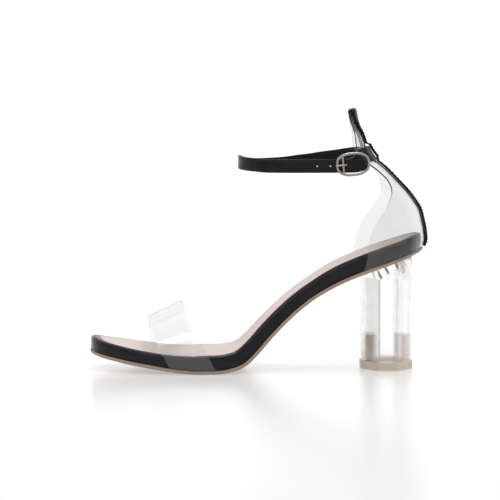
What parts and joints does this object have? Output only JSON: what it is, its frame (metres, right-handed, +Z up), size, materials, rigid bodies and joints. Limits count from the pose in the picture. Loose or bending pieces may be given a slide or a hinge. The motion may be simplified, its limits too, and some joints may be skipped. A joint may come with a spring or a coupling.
{
  "type": "block heel sandal",
  "caption": "Left block heel sandal with a clear toe band, a clear heel quarter, a black buckled ankle strap, a black wrapped sole and a clear eight-sided heel",
  "frame": {"origin": "on the floor under the middle of the shoe's bounding box", "axes": "+X from the toe to the heel, +Y to the medial side (the wearer's right, because it is a left shoe), +Z up; the shoe stands on its forefoot and its heel lift"},
  "size_m": [0.2212, 0.079, 0.1706],
  "materials": {
    "outsole_tan": "smooth tan sole sheet, satin",
    "patent_black": "black patent, glossy coat over a soft wrap",
    "insole_beige": "pale pinkish beige lining, matt",
    "clear_sheet": "clear flexible sheet, glossy",
    "buckle_metal": "warm silver-grey metal, polished",
    "clear_block": "clear cast acrylic, polished facets",
    "lift_rubber": "pale tan top piece, satin"
  },
  "bodies": {
    "root": {"outsole": "outsole_tan", "platform": "patent_black", "insole": "insole_beige", "toe_band": "clear_sheet", "heel_quarter": "clear_sheet", "seam_strip": "patent_black", "ankle_strap": "patent_black", "buckle_frame": "buckle_metal", "buckle_prong": "buckle_metal", "heel_block": "clear_block", "top_lift": "lift_rubber", "heel_nail_1": "buckle_metal", "heel_nail_2": "buckle_metal", "heel_nail_3": "buckle_metal", "heel_nail_4": "buckle_metal"}
  },
  "joints": []
}
